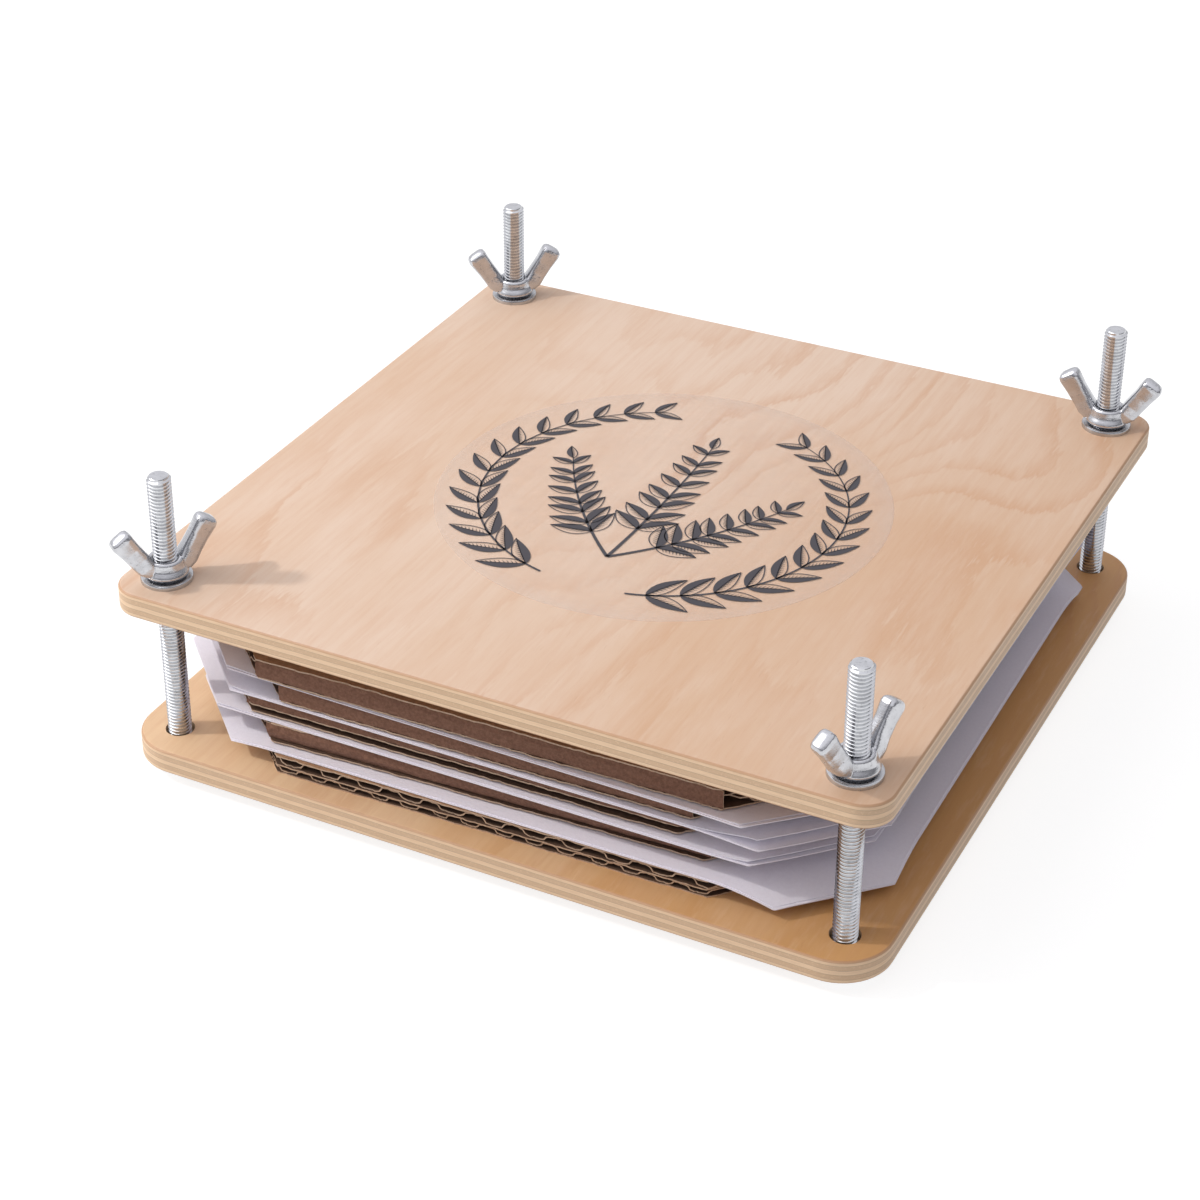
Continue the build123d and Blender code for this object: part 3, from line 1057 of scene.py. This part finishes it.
def paper_height(x, y, layer, number):
    """How high a paper lies at a point: level on its card, and hanging or rising past its cut corners."""
    shift_x, shift_y = CARD_SHIFTS[layer]
    turn = Matrix.Rotation(math.radians(-CARD_TURNS[layer]), 2)
    card_x, card_y = turn @ Vector((x - shift_x, y - shift_y))
    past = max((abs(card_x) + abs(card_y) - (2 * CARD_HALF - CARD_CLIP)) / math.sqrt(2), 0.0)
    left, right = PAPER_SAGS[number - 1]
    share = left + (right - left) * smooth_step(x, -PAPER_HALF, PAPER_HALF)
    sag = share * min(PAPER_SAG * past * past, PAPER_SAG_MOST)
    wave = 0.2 * smooth_step(past, 0.5, 6.0) * noise.noise(Vector((x * 0.07, y * 0.07, layer)))
    return wave - sag


def add_paper(number):
    """One octagonal paper that lies on a card and sags at its free corners."""
    node = f"blotting_paper_{number}"
    layer, sheet = divmod(number - 1, 2)
    clip = PAPER_CLIPS[layer]
    shift = Vector(PAPER_SHIFTS[layer]) + Vector((-1, 1)) * PAPER_SLIP * sheet
    turn = Matrix.Rotation(math.radians(PAPER_TURNS[layer]), 2)
    bm = bmesh.new()
    bmesh.ops.create_grid(bm, x_segments=PAPER_CELLS, y_segments=PAPER_CELLS, size=PAPER_HALF)
    cut = (2 * PAPER_HALF - clip) / 2
    for side_x in (-1, 1):
        for side_y in (-1, 1):
            geom = bm.verts[:] + bm.edges[:] + bm.faces[:]
            point = (side_x * cut, side_y * cut, 0)
            away = (side_x, side_y, 0)
            bmesh.ops.bisect_plane(bm, geom=geom, plane_co=point, plane_no=away, clear_outer=True)
    for vert in bm.verts:
        x, y = turn @ Vector((vert.co.x, vert.co.y)) + shift
        vert.co = Vector((x, y, paper_height(x, y, layer, number)))
    raised = bmesh.ops.extrude_face_region(bm, geom=bm.faces[:])["geom"]
    upper = [v for v in raised if isinstance(v, bmesh.types.BMVert)]
    bmesh.ops.translate(bm, vec=(0, 0, PAPER_SHEET), verts=upper)
    card_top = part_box(f"corrugated_card_{layer + 1}")[1].z / MM
    bmesh.ops.translate(bm, vec=(0, 0, card_top + sheet * PAPER_SHEET), verts=bm.verts)
    mesh = finished(bm, f"paper {number}", 50)
    piece = add_piece(f"sagging_paper_{number}", mesh, WHITE_PAPER, BASE, node)


# Printed wreath and sprigs on the film

INK_LIFT = 0.02
WREATH_RADIUS = 39.5
WREATH_LEAVES = 14
WREATH_START = math.radians(-76)
WREATH_END = math.radians(66)
LEAF_LENGTH = 10.6
LEAF_WIDTH = 3.8
STEM_WIDTH = 0.55
RIB_WIDTH = 0.22
OUTLINE_WIDTH = 0.24
STROKE_WIDTHS = (0.26, 0.05)
WREATH_LEAN = math.radians(36)
# The sprigs in the middle: heading in degrees, length and bend
SPRIGS = ((90.0, 52.0, 0.12), (126.0, 43.0, -0.35), (54.0, 43.0, 0.35))
SPRIG_FOOT = Vector((0.0, -27.0))
SPRIG_PAIRS = 8
SPRIG_LEAF = 9.0
SPRIG_STEM = 0.8
SPRIG_LEAN = math.radians(52)


def leaf_side(share):
    """A leaf's half width along its length, as a share of the whole."""
    return math.sin(math.pi * share ** 0.8) ** 0.9


def add_strip(faces, line, widths):
    """A flat strip along a line, with a width at each point."""
    left, right = [], []
    for i, point in enumerate(line):
        ahead = (line[min(i + 1, len(line) - 1)] - line[max(i - 1, 0)]).normalized()
        out = Vector((-ahead.y, ahead.x)) * widths[i] / 2
        left.append(point + out)
        right.append(point - out)
    for i in range(len(line) - 1):
        faces.append((left[i], right[i], right[i + 1], left[i + 1]))


def add_leaf(faces, root, heading, length, width):
    """An inked leaf: one half solid, the other drawn with an outline and short strokes."""
    steps = 12
    ahead = Vector((math.cos(heading), math.sin(heading)))
    out = Vector((-ahead.y, ahead.x))

    def at(share, side):
        bend = 0.08 * length * math.sin(math.pi * share / 2)
        return root + ahead * share * length + out * (side * leaf_side(share) * width / 2 + bend)

    solid = [at(i / steps, 1) for i in range(steps + 1)]
    rib = [at(i / steps, 0) for i in range(steps + 1)]
    outline = [at(i / steps, -1) for i in range(steps + 1)]
    for i in range(steps):
        faces.append((rib[i], rib[i + 1], solid[i + 1], solid[i]))
    add_strip(faces, rib, [RIB_WIDTH] * len(rib))
    add_strip(faces, outline, [OUTLINE_WIDTH] * len(outline))
    for i in range(2, steps - 1):
        stroke = [at(i / steps, 0), at((i + 0.8) / steps, -0.62)]
        add_strip(faces, stroke, STROKE_WIDTHS)


def add_wreath(faces):
    """Two leafy branches that bend round the middle from below."""
    for side in (-1, 1):
        stem = []
        count = 48
        for i in range(count + 1):
            turn = WREATH_START + (WREATH_END - WREATH_START) * i / count
            stem.append(Vector((side * math.cos(turn), math.sin(turn))) * WREATH_RADIUS)
        add_strip(faces, stem, [STEM_WIDTH * (1 - 0.6 * i / count) for i in range(count + 1)])
        for leaf in range(WREATH_LEAVES):
            share = (leaf + 0.6) / WREATH_LEAVES
            turn = WREATH_START + (WREATH_END - WREATH_START) * share
            root = Vector((side * math.cos(turn), math.sin(turn))) * WREATH_RADIUS
            along = math.atan2(math.cos(turn), -side * math.sin(turn))
            size = 1 - 0.35 * share
            for lean in (-1, 1):
                heading = along + lean * WREATH_LEAN
                add_leaf(faces, root, heading, LEAF_LENGTH * size, LEAF_WIDTH * size * lean)


def add_sprig(faces, heading, length, bend):
    """One leafy stem from the common foot, with pairs of oval leaves that shorten towards its tip."""
    count = 36
    stem = [SPRIG_FOOT]
    for i in range(count):
        turn = math.radians(heading) + bend * (i / count - 0.5)
        stem.append(stem[-1] + Vector((math.cos(turn), math.sin(turn))) * length / count)
    add_strip(faces, stem, [SPRIG_STEM * (1 - 0.7 * i / count) for i in range(count + 1)])
    for pair in range(SPRIG_PAIRS):
        share = 0.24 + 0.7 * pair / (SPRIG_PAIRS - 1)
        place = round(share * count)
        along = stem[place] - stem[place - 1]
        size = SPRIG_LEAF * (1.15 - 0.6 * share)
        for lean in (-1, 1):
            turn = math.atan2(along.y, along.x) + lean * SPRIG_LEAN
            add_leaf(faces, stem[place], turn, size, -0.44 * size * lean)
    along = stem[-1] - stem[-2]
    add_leaf(faces, stem[-1], math.atan2(along.y, along.x), 0.6 * SPRIG_LEAF, 0.26 * SPRIG_LEAF)


def add_print():
    """The printed wreath and sprigs, as a thin layer of ink on the film."""
    faces = []
    add_wreath(faces)
    for sprig in SPRIGS:
        add_sprig(faces, *sprig)
    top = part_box("label_film")[1].z / MM + INK_LIFT
    bm = bmesh.new()
    for corners in faces:
        places = [Vector((c.x + FILM_CENTRE.x, c.y + FILM_CENTRE.y, top)) for c in corners]
        if (places[1] - places[0]).cross(places[-1] - places[0]).z < 0:
            places.reverse()
        bm.faces.new([bm.verts.new(p) for p in places])
    bmesh.ops.remove_doubles(bm, verts=bm.verts, dist=0.0005)
    bmesh.ops.dissolve_degenerate(bm, edges=bm.edges, dist=0.0005)
    bmesh.ops.transform(bm, matrix=Matrix.Scale(MM, 4), verts=bm.verts)
    mesh = bpy.data.meshes.new("print")
    bm.to_mesh(mesh)
    bm.free()
    add_piece("printed_wreath", mesh, INK, PRESSING_BOARD)


# Stage

FLOOR_HALF = 30.0
# The floor's colour as it lights the press and as it takes a shadow, and how much it shines where it is seen
FLOOR_LIT = (0.8, 0.8, 0.8, 1.0)
FLOOR_SHADE = (0.32, 0.32, 0.32, 1.0)
FLOOR_GLOW = 0.82


def shows_background(s):
    """1 for camera, mirror and see-through rays."""
    path = s.add("ShaderNodeLightPath").outputs
    seen = s.math("MAXIMUM", path["Is Camera Ray"], path["Is Glossy Ray"])
    return s.math("MAXIMUM", seen, path["Is Transmission Ray"])


def add_floor():
    """A wide white floor that keeps a light shadow."""
    mesh = bpy.data.meshes.new("floor")
    half = FLOOR_HALF
    corners = [(-half, -half, 0), (half, -half, 0), (half, half, 0), (-half, half, 0)]
    mesh.from_pydata(corners, [], [(0, 1, 2, 3)])
    floor = bpy.data.objects.new("floor", mesh)
    bpy.context.scene.collection.objects.link(floor)
    material = bpy.data.materials.new("white floor")
    material.use_nodes = True
    material.node_tree.nodes.clear()
    s = Shading(material.node_tree)
    lit = s.add("ShaderNodeBsdfDiffuse", {"Color": FLOOR_LIT}).outputs[0]
    shade = s.add("ShaderNodeBsdfDiffuse", {"Color": FLOOR_SHADE}).outputs[0]
    glow = s.add("ShaderNodeEmission", {"Color": (1.0, 1.0, 1.0, 1.0), "Strength": FLOOR_GLOW}).outputs[0]
    seen = s.add("ShaderNodeAddShader", {0: shade, 1: glow}).outputs[0]
    mixed = s.add("ShaderNodeMixShader", {0: shows_background(s), 1: lit, 2: seen}).outputs[0]
    s.add("ShaderNodeOutputMaterial", {"Surface": mixed})
    mesh.materials.append(material)


def add_lamp(name, place, width, power, colour):
    """A round soft lamp that shines at the middle of the press."""
    light = bpy.data.lights.new(name, "AREA")
    light.shape = "DISK"
    light.size = width
    light.energy = power
    light.color = colour
    lamp = bpy.data.objects.new(name, light)
    lamp.location = place
    lamp.rotation_mode = "QUATERNION"
    lamp.rotation_quaternion = place.to_track_quat("Z", "Y")
    bpy.context.scene.collection.objects.link(lamp)


def add_lights():
    """A key lamp and a softbox at the left, in a studio that is bright above and at the left."""
    flat = math.cos(KEY_ELEVATION)
    towards = Vector((math.cos(KEY_AZIMUTH) * flat, math.sin(KEY_AZIMUTH) * flat, math.sin(KEY_ELEVATION)))
    add_lamp("key", towards * KEY_DISTANCE, KEY_WIDTH, KEY_POWER, KEY_COLOUR)
    add_lamp("softbox", SOFTBOX_PLACE, SOFTBOX_WIDTH, SOFTBOX_POWER, SOFTBOX_COLOUR)

    world = bpy.data.worlds.new("studio")
    world.use_nodes = True
    world.node_tree.nodes.clear()
    s = Shading(world.node_tree)
    direction = s.add("ShaderNodeTexCoord").outputs["Generated"]
    height = s.add("ShaderNodeSeparateXYZ", {0: direction}).outputs[2]
    walls_to_ceiling = s.span(height, 0.1, 0.62)
    wall = s.mix(s.span(s.dot(direction, BACK), -0.6, 0.5), FRONT_WALL, BACK_WALL)
    colour = s.mix(walls_to_ceiling, wall, CEILING)
    at_right = STUDIO_LIGHT * (1 - BRIGHTER_LEFT)
    at_left = STUDIO_LIGHT * (1 + BRIGHTER_LEFT)
    light = s.span(s.dot(direction, LEFT), -1.0, 1.0, at_right, at_left)
    strength = s.math("ADD", light, s.math("MULTIPLY", shows_background(s), SEEN_LIGHT))
    studio = s.add("ShaderNodeBackground", {"Color": colour, "Strength": strength}).outputs[0]
    s.add("ShaderNodeOutputWorld", {"Surface": studio})
    bpy.context.scene.world = world


def add_camera():
    """The camera at the photograph's place."""
    flat = Vector((math.sin(CAMERA_AZIMUTH), math.cos(CAMERA_AZIMUTH), 0))
    ahead = flat * math.cos(CAMERA_ELEVATION) - Vector((0, 0, math.sin(CAMERA_ELEVATION)))
    level_right = Vector((math.cos(CAMERA_AZIMUTH), -math.sin(CAMERA_AZIMUTH), 0))
    level_up = level_right.cross(ahead)
    right = math.cos(CAMERA_ROLL) * level_right + math.sin(CAMERA_ROLL) * level_up
    up = right.cross(ahead)
    data = bpy.data.cameras.new("camera")
    data.lens = CAMERA_LENS
    data.sensor_width = CAMERA_SENSOR
    data.shift_x, data.shift_y = CAMERA_SHIFT
    data.clip_start = CAMERA_NEAR
    camera = bpy.data.objects.new("camera", data)
    turn = Matrix((right, up, -ahead)).transposed().to_4x4()
    camera.matrix_world = Matrix.Translation(CAMERA_PLACE) @ turn
    bpy.context.scene.collection.objects.link(camera)
    bpy.context.scene.camera = camera


dress_boards()
add_film()
add_hardware()
for card_number in range(1, len(CARD_SHIFTS) + 1):
    add_card(card_number)
for paper_number in range(1, 2 * len(PAPER_SHIFTS) + 1):
    add_paper(paper_number)
add_print()
add_floor()
add_lights()
add_camera()
bpy.context.scene.view_settings.view_transform = "Standard"
